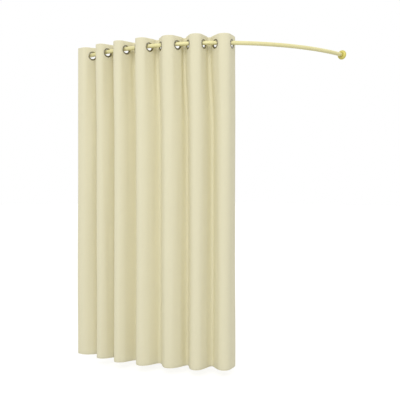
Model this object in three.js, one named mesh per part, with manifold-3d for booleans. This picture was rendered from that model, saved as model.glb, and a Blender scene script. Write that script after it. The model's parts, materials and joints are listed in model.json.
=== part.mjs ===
// Corner fitting cubicle: a quarter-circle rail between two walls, with an eyelet curtain on it.
// Millimetres, +Z up. The origin is the centre of the left wall seat's back face. The left wall is
// the plane x = 0 and the right wall is the plane y = rail_radius. The rail leaves the left wall
// along +X, bows out into the room towards +X and -Y, and meets the right wall along +Y.

import * as THREE from 'three';
import { mergeVertices } from 'three/addons/utils/BufferGeometryUtils.js';
import Module from 'manifold-3d';

const wasm = await Module();
wasm.setup();

// Fits that many pieces share
const rest_gap = 0.3;
const cut_overrun = 2;

// Rail: two bent tubes that meet at the middle of the bow, over a spigot
const rail_radius = 1200;
const rail_sweep = Math.PI / 2;
const tube_diameter = 25;
const tube_wall = 1.5;
const tube_sides = 16;
const tube_steps = 20;

const spigot_length = 150;
const spigot_wall = 1.5;
const spigot_play = 0.45;
const spigot_steps = 8;

const spigot_screw_inset = 42;
const spigot_screw_diameter = 4;
const spigot_screw_head_diameter = 7.5;
const spigot_screw_head_height = 2.2;
const spigot_screw_length = 5.5;
const spigot_screw_play = 0.35;
const screw_head_flat_share = 0.6;
const screw_head_edge_share = 0.6;

// Wall seats: a plate screwed to the wall, with a collar that the tube's end stands in
const plate_diameter = 54;
const plate_thickness = 4;
const plate_edge = 0.8;
const collar_wall = 2.4;
const collar_length = 24;
const collar_play = 0.6;
const collar_edge = 0.8;
const seat_sides = 24;

const wall_screw_count = 3;
const wall_screw_hole_diameter = 4.6;
const wall_screw_sink_diameter = 8.6;

const grub_diameter = 4;
const grub_socket_diameter = 2;
const grub_socket_depth = 1.4;
const grub_proud = 0.6;
const grub_play = 0.35;
const grub_from_collar_end = 5;

// Domed cover that slides along the rail and hides the plate
const cover_play = 1.8;
const cover_height = 15;
const cover_wall = 1.2;
const cover_rim_height = 3;
const cover_lift = 0.5;
const cover_steps = 5;

// Eyelets: a domed front ring whose neck goes through the cloth and is rolled over a back ring
const eyelet_slack = 15;
const eyelet_ring_width = 9;
const eyelet_neck_wall = 1.2;
const eyelet_dome_height = 2.8;
const eyelet_edge_height = 0.9;
const eyelet_crown_shares = [0.3, 0.65];
const eyelet_lip_width = 2.4;
const eyelet_lip_height = 1;
const eyelet_flare = 0.8;
const back_ring_height = 1.7;
const back_ring_flat_share = 0.6;
const eyelet_play = 0.3;
const eyelet_sides = 16;

// Curtain: cut flat, then hung in folds
const cloth_thickness = 1.2;
const folded_layers = 2;
const curtain_height = 2000;
const heading_above_rail = 48;
const heading_height = 110;
const hem_height = 70;
const cloth_joint_gap = 0.3;

const eyelet_count = 13;
const eyelet_cloth_pitch = 140;
const first_eyelet_run = 92;
const trailing_flap_straight = 30;
const trailing_flap_turn = 50;
const trailing_slope = THREE.MathUtils.degToRad(66);
const lead_flap_length = 70;
const lead_flap_end_slope = THREE.MathUtils.degToRad(82);

// How the folds stand when the curtain is a little over half drawn. The pitch of each fold is a
// share of the pitch of them all, and a valley takes less of it than a fold's front.
const drawn_share = 4 / 7;
const fold_pitch_shares = [0.88, 0.92, 1.02, 1.12, 1.0, 1.06];
const valley_share = 0.42;
const bend_steps = 8;
const flap_steps = 4;

// Sizes that follow from the ones above
const tube_radius = tube_diameter / 2;
const tube_bore_radius = tube_radius - tube_wall;
const spigot_radius = tube_bore_radius - spigot_play;
const collar_bore_radius = tube_radius + collar_play;
const collar_radius = collar_bore_radius + collar_wall;
const cover_bore_radius = collar_radius + rest_gap;
const plate_radius = plate_diameter / 2;
const wall_screw_circle_radius = (collar_radius + plate_radius) / 2;
const cover_radius = plate_radius + cover_play + cover_wall;
const tube_end_run = plate_thickness + rest_gap;

const eyelet_bore_radius = (tube_diameter + eyelet_slack) / 2;
const eyelet_radius = eyelet_bore_radius + eyelet_ring_width;
const eyelet_diameter = 2 * eyelet_radius;
const neck_radius = eyelet_bore_radius + eyelet_neck_wall;
const cloth_hole_radius = neck_radius + eyelet_play;
const heading_half = folded_layers * cloth_thickness / 2;
const curtain_top = heading_above_rail;
const curtain_bottom = curtain_top - curtain_height;

// Where the faces of the cloth and of the back ring lie along an eyelet's axis
const cloth_face = heading_half + rest_gap;
const back_ring_face = cloth_face + back_ring_height;
const lip_face = back_ring_face + rest_gap;

const half_turn = Math.PI;
const quarter_turn = Math.PI / 2;

const brass = { color: 0xe0d9a3, roughness: 0.3, metalness: 0.9 };
const steel = { color: 0xc9c9c6, roughness: 0.15, metalness: 1 };
const zinc = { color: 0xb9bbbd, roughness: 0.4, metalness: 0.9 };
const fabric = { color: 0xddd3b2, roughness: 0.9, metalness: 0 };

const fitting_cubicle = new THREE.Group();

function addPiece(name, geometry, finish, place = null) {
  const mesh = new THREE.Mesh(geometry, new THREE.MeshStandardMaterial(finish));
  mesh.name = name;
  if (place) {
    mesh.position.copy(place.position);
    mesh.rotation.z = place.turn;
  }
  fitting_cubicle.add(mesh);
  return mesh;
}

// Closed meshes as solids, for cutting
function toSolid(geometry) {
  const bare = geometry.index ? geometry.toNonIndexed() : geometry.clone();
  for (const name of ['normal', 'uv']) bare.deleteAttribute(name);
  const merged = mergeVertices(bare, 1e-4);
  return new wasm.Manifold(new wasm.Mesh({
    numProp: 3,
    vertProperties: new Float32Array(merged.attributes.position.array),
    triVerts: new Uint32Array(merged.index.array),
  }));
}

function toGeometry(solid) {
  const mesh = solid.getMesh();
  const geometry = new THREE.BufferGeometry();
  geometry.setAttribute('position', new THREE.BufferAttribute(new Float32Array(mesh.vertProperties), 3));
  geometry.setIndex(new THREE.BufferAttribute(new Uint32Array(mesh.triVerts), 1));
  geometry.computeVertexNormals();
  return geometry;
}

function cutAway(geometry, cutters) {
  let solid = toSolid(geometry);
  for (const cutter of cutters) solid = solid.subtract(toSolid(cutter));
  return toGeometry(solid);
}

// Places on the rail, by the angle turned from the left wall. A heading is a direction in plan,
// counted anticlockwise from +X, and the outward side of a path lies on its right.
function railPoint(angle) {
  return new THREE.Vector2(rail_radius * Math.sin(angle), rail_radius * (1 - Math.cos(angle)));
}

function ahead(heading, run = 1) {
  return new THREE.Vector2(Math.cos(heading) * run, Math.sin(heading) * run);
}

function outward(heading) {
  return new THREE.Vector2(Math.sin(heading), -Math.cos(heading));
}

class RailArc extends THREE.Curve {
  constructor(from, to) {
    super();
    this.from = from;
    this.to = to;
  }

  getPoint(share, target = new THREE.Vector3()) {
    const plan = railPoint(THREE.MathUtils.lerp(this.from, this.to, share));
    return target.set(plan.x, plan.y, 0);
  }

  getTangent(share, target = new THREE.Vector3()) {
    const plan = ahead(THREE.MathUtils.lerp(this.from, this.to, share));
    return target.set(plan.x, plan.y, 0);
  }
}

function bentTube(outer_radius, bore_radius, from, to, steps) {
  const ring = new THREE.Shape();
  ring.absarc(0, 0, outer_radius, 0, 2 * half_turn);
  const bore = new THREE.Path();
  bore.absarc(0, 0, bore_radius, 0, 2 * half_turn);
  ring.holes.push(bore);
  return new THREE.ExtrudeGeometry(ring, {
    steps,
    curveSegments: tube_sides / 2,
    bevelEnabled: false,
    extrudePath: new RailArc(from, to),
  });
}

// A radial hole in the underside of the rail
function undersideDrill(angle, radius, top, bottom) {
  const drill = new THREE.CylinderGeometry(radius, radius, top - bottom, tube_sides);
  drill.rotateX(quarter_turn);
  const plan = railPoint(angle);
  drill.translate(plan.x, plan.y, (top + bottom) / 2);
  return drill;
}

function turned(profile, sides) {
  return new THREE.LatheGeometry(profile.map(([r, h]) => new THREE.Vector2(r, h)), sides);
}

// The wall end of each rail half, and which way the seat there faces
const wall_ends = [
  { side: 'left', angle: 0, inwards: 1, turn: -quarter_turn },
  { side: 'right', angle: rail_sweep, inwards: -1, turn: rail_sweep + quarter_turn },
];

function addRail() {
  const middle = rail_sweep / 2;
  const end_angle = Math.asin(tube_end_run / rail_radius);
  const meeting_angle = rest_gap / 2 / rail_radius;
  const screw_angle = spigot_screw_inset / rail_radius;
  const hole_radius = spigot_screw_diameter / 2 + spigot_screw_play;

  for (const end of wall_ends) {
    const wall_end = end.angle + end.inwards * end_angle;
    const middle_end = middle - end.inwards * meeting_angle;
    const screw_at = middle - end.inwards * screw_angle;
    const tube = bentTube(
      tube_radius,
      tube_bore_radius,
      Math.min(wall_end, middle_end),
      Math.max(wall_end, middle_end),
      tube_steps,
    );
    const hole = undersideDrill(screw_at, hole_radius, 0, -tube_radius - cut_overrun);
    addPiece(`rail_tube_${end.side}`, cutAway(tube, [hole]), brass);

    const head_top = -tube_radius - rest_gap;
    const head_radius = spigot_screw_head_diameter / 2;
    const head_bottom = head_top - spigot_screw_head_height;
    const shank_radius = spigot_screw_diameter / 2;
    const screw = turned([
      [0, head_bottom],
      [head_radius * screw_head_flat_share, head_bottom],
      [head_radius, head_bottom + spigot_screw_head_height * screw_head_edge_share],
      [head_radius, head_top],
      [shank_radius, head_top],
      [shank_radius, head_top + spigot_screw_length],
      [0, head_top + spigot_screw_length],
    ], tube_sides);
    screw.rotateX(quarter_turn);
    const plan = railPoint(screw_at);
    const position = new THREE.Vector3(plan.x, plan.y, 0);
    addPiece(`spigot_screw_${end.side}`, screw, zinc, { position, turn: 0 });
  }

  const half_spigot = spigot_length / 2 / rail_radius;
  const spigot = bentTube(
    spigot_radius,
    spigot_radius - spigot_wall,
    middle - half_spigot,
    middle + half_spigot,
    spigot_steps,
  );
  const holes = wall_ends.map((end) => undersideDrill(
    middle - end.inwards * screw_angle,
    hole_radius,
    0,
    -tube_radius,
  ));
  addPiece('rail_spigot', cutAway(spigot, holes), zinc);
}

function seatGeometry() {
  const seat = turned([
    [0, 0],
    [plate_radius, 0],
    [plate_radius, plate_thickness - plate_edge],
    [plate_radius - plate_edge, plate_thickness],
    [collar_radius, plate_thickness],
    [collar_radius, collar_length - collar_edge],
    [collar_radius - collar_edge, collar_length],
    [collar_bore_radius, collar_length],
    [collar_bore_radius, plate_thickness],
    [0, plate_thickness],
  ], seat_sides);

  const cutters = [];
  const hole_radius = wall_screw_hole_diameter / 2;
  const sink_radius = wall_screw_sink_diameter / 2;
  const sink_depth = sink_radius - hole_radius;
  for (let k = 0; k < wall_screw_count; k++) {
    const around = 2 * half_turn * k / wall_screw_count;
    const x = Math.sin(around) * wall_screw_circle_radius;
    const z = Math.cos(around) * wall_screw_circle_radius;
    const sink = turned([
      [0, -cut_overrun],
      [hole_radius, -cut_overrun],
      [hole_radius, plate_thickness - sink_depth],
      [sink_radius, plate_thickness],
      [sink_radius, plate_thickness + cut_overrun],
      [0, plate_thickness + cut_overrun],
    ], tube_sides);
    sink.translate(x, 0, z);
    cutters.push(sink);
  }

  const grub_hole_radius = grub_diameter / 2 + grub_play;
  const grub_hole_length = collar_wall + cut_overrun * 2;
  const grub_hole = new THREE.CylinderGeometry(
    grub_hole_radius,
    grub_hole_radius,
    grub_hole_length,
    tube_sides,
  );
  grub_hole.rotateX(quarter_turn);
  const collar_middle = collar_bore_radius + collar_wall / 2;
  grub_hole.translate(0, collar_length - grub_from_collar_end, -collar_middle);
  cutters.push(grub_hole);
  return cutAway(seat, cutters);
}

function grubGeometry() {
  const radius = grub_diameter / 2;
  const socket_radius = grub_socket_diameter / 2;
  const top = -tube_radius - rest_gap;
  const bottom = -collar_radius - grub_proud;
  const grub = turned([
    [0, bottom + grub_socket_depth],
    [socket_radius, bottom + grub_socket_depth],
    [socket_radius, bottom],
    [radius, bottom],
    [radius, top],
    [0, top],
  ], tube_sides);
  grub.rotateX(quarter_turn);
  grub.translate(0, collar_length - grub_from_collar_end, 0);
  return grub;
}

function coverGeometry() {
  const dome_height = cover_height - cover_rim_height;
  const outside = [];
  const inside = [];
  for (let k = 0; k <= cover_steps; k++) {
    const turn = quarter_turn * k / cover_steps;
    const across = cover_radius - cover_bore_radius;
    const outer_r = cover_bore_radius + across * Math.cos(turn);
    const outer_h = cover_rim_height + dome_height * Math.sin(turn);
    const inner_r = cover_bore_radius + (across - cover_wall) * Math.cos(turn);
    const inner_h = cover_rim_height + (dome_height - cover_wall) * Math.sin(turn);
    outside.push([outer_r, cover_lift + outer_h]);
    inside.push([inner_r, cover_lift + inner_h]);
  }
  const start = [
    [cover_radius - cover_wall, cover_lift],
    [cover_radius, cover_lift],
  ];
  const profile = [...start, ...outside, ...inside.reverse(), start[0]];
  return turned(profile, seat_sides);
}

function addWallSeats() {
  for (const end of wall_ends) {
    const plan = railPoint(end.angle);
    const position = new THREE.Vector3(plan.x, plan.y, 0);
    const place = { position, turn: end.turn };
    addPiece(`wall_seat_${end.side}`, seatGeometry(), brass, place);
    addPiece(`wall_cover_${end.side}`, coverGeometry(), brass, place);
    addPiece(`seat_screw_${end.side}`, grubGeometry(), zinc, place);
  }
}

// Runs along the rail from the left wall to each eyelet. Odd ones, counted from 1, stand on the
// right flank of an outward fold, and even ones on its left flank.
function eyeletRuns() {
  const fold_pitch = 2 * eyelet_cloth_pitch * drawn_share;
  const runs = [first_eyelet_run];
  while (runs.length < eyelet_count) {
    const valley = runs.length % 2 === 1;
    const fold = Math.floor((runs.length - 1) / 2) % fold_pitch_shares.length;
    const side_share = valley ? valley_share : 1 - valley_share;
    runs.push(runs[runs.length - 1] + fold_pitch * fold_pitch_shares[fold] * side_share);
  }
  return runs;
}

// The slope to the rail at which a fold that turns steadily spans a given run between its eyelets
function slopeForSpan(span) {
  const flat = eyelet_diameter;
  const bend = eyelet_cloth_pitch - flat;
  let low = 0;
  let high = quarter_turn;
  for (let k = 0; k < 50; k++) {
    const slope = (low + high) / 2;
    const reached = flat * Math.cos(slope) + bend * Math.sin(slope) / slope;
    if (reached > span) low = slope;
    else high = slope;
  }
  return (low + high) / 2;
}

function placeEyelets() {
  const runs = eyeletRuns();
  const eyelets = runs.map((run, k) => ({ run, angle: run / rail_radius, left: k % 2 === 1 }));
  eyelets.forEach((eyelet, k) => {
    const first = eyelet.left ? eyelet : eyelets[k - 1];
    const second = eyelet.left ? eyelets[k + 1] : eyelet;
    const slope = first && second ? slopeForSpan(second.run - first.run) : trailing_slope;
    eyelet.slope = slope;
    eyelet.heading = eyelet.angle + (eyelet.left ? -slope : slope);
    eyelet.centre = railPoint(eyelet.angle);
    eyelet.before = eyelet.centre.clone().sub(ahead(eyelet.heading, eyelet_radius));
    eyelet.after = eyelet.centre.clone().add(ahead(eyelet.heading, eyelet_radius));
  });
  return eyelets;
}

// How far below the rail's middle an eyelet at this slope hangs when its bore rests on the tube
function hangingDrop(slope) {
  const clear_radius = tube_radius + rest_gap;
  const bore_flat = Math.cos(half_turn / eyelet_sides);
  const bore = [
    [eyelet_bore_radius, heading_half],
    [eyelet_bore_radius, cloth_face + eyelet_edge_height],
    [eyelet_bore_radius + eyelet_flare, lip_face],
  ];
  const steps = 90;
  let drop = eyelet_bore_radius;
  for (const [radius, along] of bore) {
    for (let k = 0; k <= steps; k++) {
      const around = quarter_turn * k / steps;
      const across = radius * bore_flat * Math.sin(around) * Math.sin(slope);
      const off_axis = Math.abs(across - along * Math.cos(slope));
      if (off_axis > clear_radius) continue;
      const rail_top = Math.sqrt(clear_radius ** 2 - off_axis ** 2);
      drop = Math.min(drop, radius * bore_flat * Math.cos(around) - rail_top);
    }
  }
  return drop;
}

// A bend of known cloth length between two straight stretches. Its heading turns steadily, plus
// two sine terms that are solved so that the bend ends where the next stretch begins.
function bendPoints(from, heading_from, to, heading_to) {
  const step = (eyelet_cloth_pitch - eyelet_diameter) / bend_steps;
  const walk = (bulge, lean) => {
    const points = [from.clone()];
    for (let k = 0; k < bend_steps; k++) {
      const u = (k + 0.5) / bend_steps;
      const heading = THREE.MathUtils.lerp(heading_from, heading_to, u)
        + bulge * Math.sin(2 * half_turn * u) + lean * Math.sin(half_turn * u);
      points.push(points[k].clone().add(ahead(heading, step)));
    }
    return points;
  };
  const miss = (bulge, lean) => walk(bulge, lean)[bend_steps].sub(to);

  let bulge = 0;
  let lean = 0;
  const nudge = 1e-5;
  for (let k = 0; k < 40; k++) {
    const here = miss(bulge, lean);
    const by_bulge = miss(bulge + nudge, lean).sub(here).divideScalar(nudge);
    const by_lean = miss(bulge, lean + nudge).sub(here).divideScalar(nudge);
    const det = by_bulge.cross(by_lean);
    const most = 0.3;
    bulge -= THREE.MathUtils.clamp(here.cross(by_lean) / det, -most, most);
    lean -= THREE.MathUtils.clamp(by_bulge.cross(here) / det, -most, most);
  }
  return walk(bulge, lean);
}

function flapPoints(from, heading_from, heading_to, turn_length, straight_length) {
  const points = [from.clone()];
  for (let k = 0; k < flap_steps; k++) {
    const heading = THREE.MathUtils.lerp(heading_from, heading_to, (k + 0.5) / flap_steps);
    points.push(points[k].clone().add(ahead(heading, turn_length / flap_steps)));
  }
  if (straight_length > 0) {
    points.push(points[flap_steps].clone().add(ahead(heading_to, straight_length)));
  }
  return points;
}

// The cloth's plan line from one end to the other, cut into one piece for each eyelet
function curtainPaths(eyelets) {
  const paths = eyelets.map(() => []);
  const first = eyelets[0];
  const trailing = flapPoints(
    first.before,
    first.heading + half_turn,
    first.angle + half_turn,
    trailing_flap_turn,
    trailing_flap_straight,
  );
  paths[0].push(...trailing.reverse());

  for (let k = 0; k + 1 < eyelets.length; k++) {
    const here = eyelets[k];
    const next = eyelets[k + 1];
    const bend = bendPoints(here.after, here.heading, next.before, next.heading);
    const middle = bend_steps / 2;
    paths[k].push(...bend.slice(0, middle + 1));
    paths[k + 1].push(...bend.slice(middle));
  }

  const last = eyelets[eyelets.length - 1];
  const lead = flapPoints(
    last.after,
    last.heading,
    last.angle + lead_flap_end_slope,
    lead_flap_length - eyelet_radius,
    0,
  );
  paths[paths.length - 1].push(...lead);
  return paths;
}

function headingOf(from, to) {
  return Math.atan2(to.y - from.y, to.x - from.x);
}

// Where two neighbouring cloth pieces meet, both take the heading of the chord across the cut
function cutHeadings(paths, k) {
  const path = paths[k];
  const before = k > 0 ? paths[k - 1][paths[k - 1].length - 2] : path[0];
  const after = k + 1 < paths.length ? paths[k + 1][1] : path[path.length - 1];
  return { start: headingOf(before, path[1]), end: headingOf(path[path.length - 2], after) };
}

function clothGeometry(path, cut, gaps) {
  const count = path.length;
  const points = path.map((point) => point.clone());
  points[0].add(ahead(headingOf(path[0], path[1]), gaps.start));
  points[count - 1].sub(ahead(headingOf(path[count - 2], path[count - 1]), gaps.end));
  const sides = points.map((point, j) => {
    if (j === 0) return outward(cut.start);
    if (j === count - 1) return outward(cut.end);
    const into = outward(headingOf(path[j - 1], path[j]));
    const out = outward(headingOf(path[j], path[j + 1]));
    const side = into.clone().add(out).normalize();
    return side.divideScalar(side.dot(out));
  });

  const thin = cloth_thickness / 2;
  const levels = [
    [curtain_bottom, heading_half],
    [curtain_bottom + hem_height, heading_half],
    [curtain_bottom + hem_height, thin],
    [curtain_top - heading_height, thin],
    [curtain_top - heading_height, heading_half],
    [curtain_top, heading_half],
  ];
  const positions = [];
  for (const [z, half] of levels) {
    for (const way of [1, -1]) {
      for (let k = 0; k < count; k++) {
        const j = way > 0 ? k : count - 1 - k;
        positions.push(points[j].x + sides[j].x * half * way, points[j].y + sides[j].y * half * way, z);
      }
    }
  }

  const round = 2 * count;
  const faces = [];
  for (let level = 0; level + 1 < levels.length; level++) {
    const low = level * round;
    const high = low + round;
    for (let k = 0; k < round; k++) {
      const next = (k + 1) % round;
      faces.push(low + k, low + next, high + next, low + k, high + next, high + k);
    }
  }
  const top = (levels.length - 1) * round;
  for (let k = 0; k + 1 < count; k++) {
    const [a, b] = [k, k + 1];
    const [c, d] = [round - 2 - k, round - 1 - k];
    faces.push(a, d, c, a, c, b);
    faces.push(top + a, top + b, top + c, top + a, top + c, top + d);
  }

  const geometry = new THREE.BufferGeometry();
  geometry.setAttribute('position', new THREE.BufferAttribute(new Float32Array(positions), 3));
  geometry.setIndex(faces);
  return geometry;
}

function addCurtain(eyelets) {
  const paths = curtainPaths(eyelets);
  paths.forEach((path, k) => {
    const gaps = {
      start: k > 0 ? cloth_joint_gap / 2 : 0,
      end: k + 1 < paths.length ? cloth_joint_gap / 2 : 0,
    };
    const eyelet = eyelets[k];
    const cloth = clothGeometry(path, cutHeadings(paths, k), gaps);
    const hole_length = 2 * (heading_half + cut_overrun);
    const hole = new THREE.CylinderGeometry(
      cloth_hole_radius,
      cloth_hole_radius,
      hole_length,
      eyelet_sides,
    );
    hole.rotateZ(eyelet.heading + half_turn);
    hole.translate(eyelet.centre.x, eyelet.centre.y, -eyelet_drop);
    addPiece(`curtain_${number(k)}`, cutAway(cloth, [hole]), fabric);
  });
}

function number(k) {
  return String(k + 1).padStart(2, '0');
}

function frontRingGeometry() {
  const crown = cloth_face + eyelet_dome_height;
  const edge = cloth_face + eyelet_edge_height;
  const [crown_start, crown_end] = eyelet_crown_shares.map((share) => eyelet_ring_width * share);
  const flared_radius = eyelet_bore_radius + eyelet_flare;
  const lip_back = lip_face + eyelet_lip_height;
  const profile = [
    [eyelet_bore_radius, -heading_half],
    [flared_radius, -lip_face],
    [neck_radius + eyelet_flare, -lip_back],
    [neck_radius + eyelet_lip_width, -lip_face],
    [neck_radius, -lip_face],
    [neck_radius, cloth_face],
    [eyelet_radius, cloth_face],
    [eyelet_radius, edge],
    [eyelet_bore_radius + crown_end, crown],
    [eyelet_bore_radius + crown_start, crown],
    [eyelet_bore_radius, edge],
  ];
  return turned([...profile, profile[0]], eyelet_sides);
}

function backRingGeometry() {
  const edge = cloth_face + eyelet_edge_height;
  const ring_width = eyelet_radius - cloth_hole_radius;
  const profile = [
    [cloth_hole_radius, -cloth_face],
    [cloth_hole_radius, -back_ring_face],
    [cloth_hole_radius + ring_width * back_ring_flat_share, -back_ring_face],
    [eyelet_radius, -edge],
    [eyelet_radius, -cloth_face],
  ];
  return turned([...profile, profile[0]], eyelet_sides);
}

function addEyelets(eyelets) {
  const front = frontRingGeometry();
  const back = backRingGeometry();
  eyelets.forEach((eyelet, k) => {
    const position = new THREE.Vector3(eyelet.centre.x, eyelet.centre.y, -eyelet_drop);
    const place = { position, turn: eyelet.heading + half_turn };
    addPiece(`eyelet_front_${number(k)}`, front, steel, place);
    addPiece(`eyelet_back_${number(k)}`, back, steel, place);
  });
}

const eyelets = placeEyelets();
const eyelet_drop = Math.min(...eyelets.map((eyelet) => hangingDrop(eyelet.slope)));
addRail();
addWallSeats();
addCurtain(eyelets);
addEyelets(eyelets);

export default fitting_cubicle;
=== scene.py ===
# A corner fitting room: a bent rail between two walls, and the eyelet curtain that hangs from it.
# Lengths are metres in the frame's own axes. The walls are x = 0 and y = the rail's bend radius.
# A place in plan is a complex number, x + iy, and a heading is counted anticlockwise from +X.
# The cloth is cut out flat, as (across, down its cut length), has its edges folded in, and is then
# hung along the line that the eyelets give it.

import bisect
import cmath
import json
import math
from collections import namedtuple
from itertools import accumulate

import bmesh
import bpy
from bpy.props import FloatProperty, FloatVectorProperty, IntProperty, PointerProperty
from mathutils import Matrix, Vector, noise


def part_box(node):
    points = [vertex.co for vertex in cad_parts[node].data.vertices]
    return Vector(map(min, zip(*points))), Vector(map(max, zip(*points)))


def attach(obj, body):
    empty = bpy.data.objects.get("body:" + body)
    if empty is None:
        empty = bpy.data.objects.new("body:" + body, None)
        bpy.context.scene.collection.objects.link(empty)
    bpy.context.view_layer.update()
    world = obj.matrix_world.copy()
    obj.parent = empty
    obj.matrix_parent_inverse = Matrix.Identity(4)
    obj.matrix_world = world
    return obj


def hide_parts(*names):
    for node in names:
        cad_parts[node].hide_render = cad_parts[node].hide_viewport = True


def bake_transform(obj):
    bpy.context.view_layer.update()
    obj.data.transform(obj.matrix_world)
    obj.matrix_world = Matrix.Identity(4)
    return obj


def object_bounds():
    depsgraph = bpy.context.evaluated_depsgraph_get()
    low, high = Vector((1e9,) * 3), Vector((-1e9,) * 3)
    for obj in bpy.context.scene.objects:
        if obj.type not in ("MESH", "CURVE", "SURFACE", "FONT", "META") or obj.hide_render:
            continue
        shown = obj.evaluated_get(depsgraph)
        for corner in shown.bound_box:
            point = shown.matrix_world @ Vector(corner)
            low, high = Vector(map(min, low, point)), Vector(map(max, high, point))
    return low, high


bl_info = {
    "name": "Corner fitting room",
    "version": (1, 0, 0),
    "blender": (4, 5, 0),
    "location": "3D View > Sidebar > Fitting room",
    "description": "Builds a bent curtain rail, its wall covers and an eyelet curtain",
    "category": "Add Mesh",
}

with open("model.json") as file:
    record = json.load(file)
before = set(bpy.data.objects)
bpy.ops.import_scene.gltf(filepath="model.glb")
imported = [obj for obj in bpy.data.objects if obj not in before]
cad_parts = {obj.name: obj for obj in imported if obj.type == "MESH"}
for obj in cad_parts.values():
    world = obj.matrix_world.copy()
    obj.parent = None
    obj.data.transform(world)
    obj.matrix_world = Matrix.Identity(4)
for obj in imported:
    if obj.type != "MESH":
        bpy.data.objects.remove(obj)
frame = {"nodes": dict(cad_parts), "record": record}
cad_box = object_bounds()

MM = 0.001
QUARTER_TURN = math.pi / 2
HALF_TURN = math.pi
FULL_TURN = 2 * math.pi
MERGE_DISTANCE = 0.01 * MM
EYELET_NUMBERS = [f"{k + 1:02d}" for k in range(sum("eyelet_front" in n for n in frame["nodes"]))]
CLOTH_UV = "cut_cloth"
RUN_ALONG = "run_along_cloth"

# Sizes that the frame gives
tube_low, tube_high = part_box("rail_tube_left")
cover_low, cover_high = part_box("wall_cover_left")
curtain_low, curtain_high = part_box("curtain_07")
BEND_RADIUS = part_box("wall_seat_right")[1].y
TUBE_RADIUS = (tube_high.z - tube_low.z) / 2
CURTAIN_HEIGHT = curtain_high.z - curtain_low.z

# Sizes of the tube, the wall covers and the eyelets
TUBE_WALL = 1.5 * MM
TUBE_EDGE = 0.3 * MM
TUBE_RIM_ANGLE = math.radians(60)
HALVES_GAP = 0.3 * MM
COLLAR_RADIUS = 15.5 * MM
COVER_PLAY = 0.3 * MM
COVER_WALL = 1.2 * MM
COVER_RIM = 3 * MM
DOME_END_DEGREES = 84
TUBE_SIDES = 48
TUBE_STEPS = 48
COVER_SIDES = 96

EYELET_BORE = 20 * MM
RING_RADIUS = 29 * MM
RING_SEAT = 1.5 * MM
RING_EDGE = 0.5 * MM
RING_DOME = 2.3 * MM
RING_SIDES = 72
NECK_RADIUS = 21.2 * MM
LIP_FACE = 3.5 * MM
LIP_THICKNESS = 1 * MM
LIP_WIDTH = 2.4 * MM
WASHER_BORE = 21.5 * MM
WASHER_FACE = 3.2 * MM
WASHER_FLAT_SHARE = 0.55
RIM_SHARE = 0.98

# Sizes of the cloth as it is cut and made up
CLOTH_THICKNESS = 1.15 * MM
FOLD_RADIUS = 0.6 * MM
HEADING = 110 * MM
HEM = 70 * MM
EYELET_PITCH = 140 * MM
FLAT_AT_EYELET = 58 * MM
CLOTH_HOLE_RADIUS = 23 * MM
TRAILING_STRAIGHT = 30 * MM
TRAILING_TURN = 50 * MM
LEAD_TURN = 41 * MM
LEAD_END_SLOPE = math.radians(82)
TRAILING_CLOTH = TRAILING_STRAIGHT + TRAILING_TURN + FLAT_AT_EYELET / 2
LEAD_CLOTH = FLAT_AT_EYELET / 2 + LEAD_TURN
CLOTH_WIDTH = TRAILING_CLOTH + (len(EYELET_NUMBERS) - 1) * EYELET_PITCH + LEAD_CLOTH
CLOTH_LENGTH = HEADING + CURTAIN_HEIGHT + HEM + (FULL_TURN - 2) * FOLD_RADIUS
SEAM_INSET = 3 * MM
THREAD = 0.5 * MM
HALF_STITCH_SHARE = 0.42
EDGE_ROWS = 4

# How the hanging cloth strays from the line that its eyelets give it
SWAY_WIDTH = 130 * MM
SWAY_HEIGHT = 900 * MM
RIPPLE_WIDTH = 32 * MM
RIPPLE_HEIGHT = 700 * MM
RIPPLE_FROM = 90 * MM
RIPPLE_BY = 250 * MM
LOOSE_FROM = 90 * MM
LOOSE_BY = 500 * MM
LOOSE_REACH = 25 * MM
LOOSE_SAMPLES = 9
CREST_REACH = 50 * MM
VALLEY_LEAN_SHARE = 0.18

# Sizes and shares of the finishes
PLATING_CLOUD = 55.5 * MM
GRAIN_DEPTH = 0.02 * MM
GRAIN_GLOSS_SHARES = (0.8, 1.25)
WAVE_RADIANS = 20
WEAVE_DEPTH = 0.35 * MM
SLUB_LENGTH = 50 * MM
SLUB_HEIGHT = 4 * MM
CLOTH_CLOUD = 250 * MM
YARN_TONE_SHARE = 0.07
WEAVE_TONE_SHARE = 0.55

# The camera and the light
CAMERA_PLACE = (3.282, -2.24, -0.892)
CAMERA_LOOK = (-0.736, 0.677, 0)
CAMERA_LENS = 53.25
CAMERA_SENSOR = 36
CAMERA_SHIFT = (0.0744, -0.0208)
KEY_PLACE = (5.2, -6, 3.6)
KEY_DIRECTION = (-0.51, 0.72, -0.47)
KEY_WIDTH = 8
FLOOR_REACH = 40
FLOOR_GLOW = 0.6


# Outlines and places

def arc(middle, radius, start, end, steps):
    """Points round an arc, in (radius, height), from one angle to another in degrees."""
    across, up = radius if isinstance(radius, tuple) else (radius, radius)
    points = []
    for k in range(steps + 1):
        turn = math.radians(start + (end - start) * k / steps)
        points.append((middle[0] + across * math.cos(turn), middle[1] + up * math.sin(turn)))
    return points


def place_along(point, facing):
    """A matrix that puts a piece's own Z along a level direction at a point."""
    up = Vector((0, 0, 1))
    turn = Matrix((up.cross(facing), up, facing)).transposed().to_4x4()
    return Matrix.Translation(point) @ turn


def evenly(start, end, steps):
    """Places from start to end in equal steps, without the last one."""
    return [start + (end - start) * k / steps for k in range(steps)]


def between(low, high, share):
    return low + (high - low) * share


def read_between(marks, values, mark):
    """The value at a mark on a rising scale, in a straight line between its neighbours."""
    k = min(max(bisect.bisect_right(marks, mark) - 1, 0), len(marks) - 2)
    return between(values[k], values[k + 1], (mark - marks[k]) / (marks[k + 1] - marks[k]))


def smooth_step(share):
    share = min(max(share, 0), 1)
    return share * share * (3 - 2 * share)


# Meshes

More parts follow.
